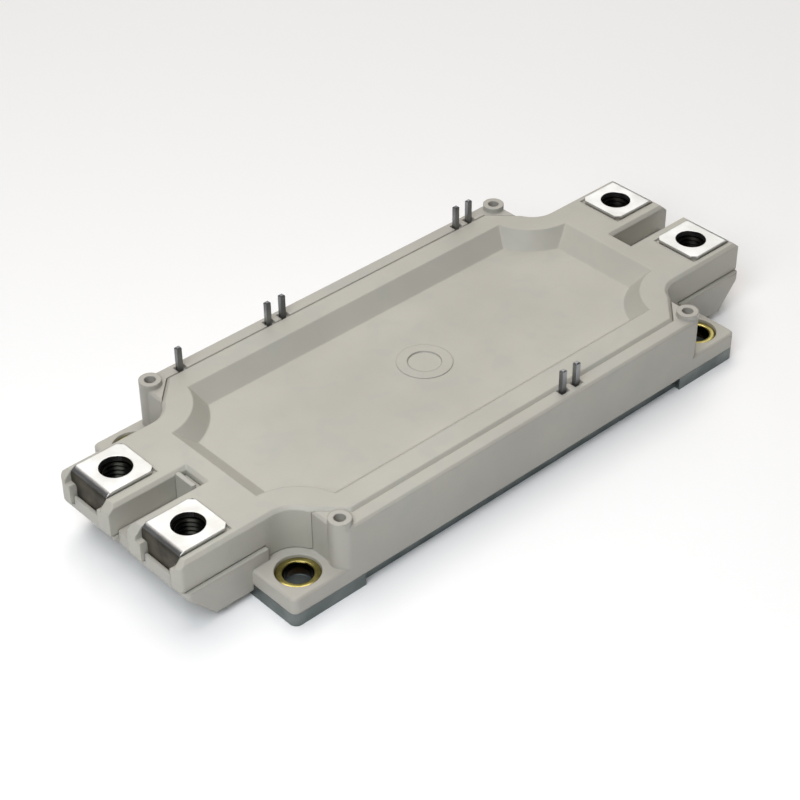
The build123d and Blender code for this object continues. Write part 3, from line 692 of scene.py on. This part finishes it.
@dataclass
class Circuit:
    """Tiles, chips and wires inside the housing."""

    copper_edge_mm: float = 0.1
    chip_edge_mm: float = 0.05
    wire_edge_mm: float = 0.15

    def build(self) -> None:
        """Dresses the pieces of the circuit."""
        copper = RolledMetal("bare_copper_sheet", self.copper_edge_mm, tone="#C98A6B", worn_tone="#A9684A",
                             roughness=0.35).make()
        ceramic = FiredCeramic("fired_alumina_tile").make()
        chip = RolledMetal("metal_layer_on_silicon", self.chip_edge_mm, tone="#B8BCC2", worn_tone="#9DA2A9",
                           roughness=0.25).make()
        wire = RolledMetal("drawn_aluminium_wire", self.wire_edge_mm, tone="#D5D7D9", worn_tone="#C3C6C9",
                           lines=Lines.ACROSS, roughness=0.25).make()
        for side in ("left", "middle", "right"):
            dress(f"lower_copper_{side}", copper)
            dress(f"circuit_copper_{side}", copper)
            dress(f"ceramic_tile_{side}", ceramic)
            dress(f"transistor_chips_{side}", chip)
            dress(f"diode_chips_{side}", chip)
            dress(f"bond_wires_{side}", wire)
        dress("tile_bridges", copper)
        dress("pin_bond_wires", wire)
        sensor = FiredCeramic("dark_fired_sensor_body", tone="#4A4844", speck_tone="#3C3A37").make()
        dress("temperature_sensor", sensor)


@dataclass
class Softbox:
    """One square softbox that faces the module."""

    name: str
    place: Place
    size: float
    power: float
    tint: str

    def build(self) -> None:
        """Hangs the light."""
        lamp = bpy.data.lights.new(self.name, "AREA")
        lamp.shape = "SQUARE"
        lamp.size = self.size
        lamp.energy = self.power
        lamp.color = linear(self.tint)[:3]
        holder = bpy.data.objects.new(self.name, lamp)
        holder.location = self.place
        holder.rotation_euler = (-Vector(self.place)).to_track_quat("-Z", "Y").to_euler()
        bpy.context.scene.collection.objects.link(holder)


@dataclass
class Studio:
    """Pale floor, soft lights and a room that is dim and cool at the sides and bright overhead."""

    floor_size: float = 8.0
    floor_drop_mm: float = 0.02
    wall_tint: str = "#6C7C8C"
    ceiling_tint: str = "#FFFFFF"
    room_strength: float = 0.12
    wall_band: Band = (0.1, 0.9)

    def build(self) -> None:
        """Sets up floor, sky and lights."""
        self.lay_floor()
        self.light_room()
        Softbox("key_softbox", (0.93, 1.11, 1.30), 1.5, 9.9, "#FFFDF8").build()
        Softbox("top_softbox", (0.05, 0.4, 1.95), 1.5, 18.4, "#FFF8F3").build()
        Softbox("right_softbox", (1.26, -0.15, 0.98), 1.0, 1.6, "#FFFEFA").build()
        Softbox("left_fill", (-0.28, -0.14, 0.34), 0.3, 1.4, "#F0F5FA").build()

    def lay_floor(self) -> None:
        """Lays the floor just under the base plate."""
        bpy.ops.object.select_all(action="DESELECT")
        bpy.ops.mesh.primitive_plane_add(size=self.floor_size,
                                         location=(0.0, 0.0, -self.floor_drop_mm * MM))
        floor = bpy.context.object
        floor.name = "studio_floor"
        floor.data.materials.append(MattPaper("matt_paper_floor").make())

    def light_room(self) -> None:
        """Lights the room from its ceiling, fading towards its walls."""
        world = bpy.data.worlds.new("studio_room")
        world.use_nodes = True
        tree = world.node_tree
        tree.nodes.clear()
        direction = add_node(tree, "SeparateXYZ", {"Vector": add_node(tree, "TexCoord").outputs["Generated"]})
        height = add_node(tree, "MapRange", {"Value": direction.outputs["Z"], "From Min": self.wall_band[0],
                                             "From Max": self.wall_band[1]}, interpolation_type="SMOOTHSTEP")
        tint = add_node(tree, "Mix", {"Factor": height.outputs[0], MIX_A: linear(self.wall_tint),
                                      MIX_B: linear(self.ceiling_tint)}, data_type="RGBA")
        room = add_node(tree, "Background", {"Color": tint.outputs[2], "Strength": self.room_strength})
        add_node(tree, "OutputWorld", {"Surface": room.outputs[0]})
        bpy.context.scene.world = world


@dataclass
class PhotoCamera:
    """Camera at the photograph's place, angle and lens."""

    place: Place = (-0.223866, -0.239670, 0.254533)
    forward: Place = (0.53259634, 0.58809119, -0.60867881)
    up: Place = (0.41618882, 0.44423343, 0.79337477)
    lens_mm: float = 90.516
    sensor_mm: float = 36.0
    clip: Band = (0.01, 50.0)

    def build(self) -> None:
        """Creates the camera and makes it the scene's own."""
        lens = bpy.data.cameras.new("photo_camera")
        lens.lens = self.lens_mm
        lens.sensor_width = self.sensor_mm
        lens.clip_start, lens.clip_end = self.clip
        holder = bpy.data.objects.new("photo_camera", lens)
        forward, up = Vector(self.forward), Vector(self.up)
        turn = Matrix((forward.cross(up), up, -forward)).transposed()
        holder.matrix_world = Matrix.Translation(self.place) @ turn.to_4x4()
        bpy.context.scene.collection.objects.link(holder)
        bpy.context.scene.camera = holder


def main() -> None:
    """Builds camera, pieces, finishes and studio in order."""
    logging.basicConfig(level=logging.INFO)
    bpy.ops.object.select_all(action="DESELECT")
    bpy.context.scene.view_settings.view_transform = "Standard"
    PhotoCamera().build()
    Housing().build()
    Metalwork().build()
    Bushings().build()
    TerminalNuts().build()
    Circuit().build()
    Studio().build()


if __name__ == "__main__":
    main()
